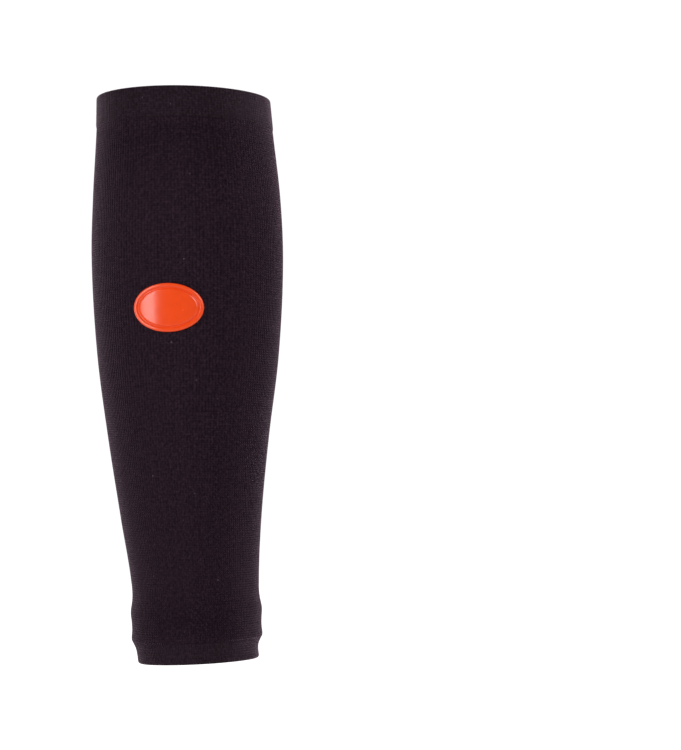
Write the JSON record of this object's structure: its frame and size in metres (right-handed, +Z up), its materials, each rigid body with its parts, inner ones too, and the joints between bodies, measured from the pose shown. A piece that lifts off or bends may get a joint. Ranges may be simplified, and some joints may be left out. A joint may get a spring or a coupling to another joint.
{
  "type": "shin guard sleeve",
  "caption": "Knitted leg-shaped sleeve with a turned welt at each end and a blank oval badge, worn over the calf to hold a shin guard.",
  "frame": {"origin": "middle of the leg at the widest girth of the calf, where the leg holds the sleeve up", "axes": "+Z up the leg, -Y out of the shin, +X to the right of someone who faces the shin"},
  "size_m": [0.1094, 0.117, 0.3222],
  "materials": {
    "knit": "black ribbed elastic knit",
    "welt": "black close elastic knit, turned double",
    "transfer": "glossy orange rubbery transfer"
  },
  "bodies": {
    "root": {"sleeve_tube": "knit", "calf_welt": "welt", "ankle_welt": "welt", "badge": "transfer"}
  },
  "joints": []
}
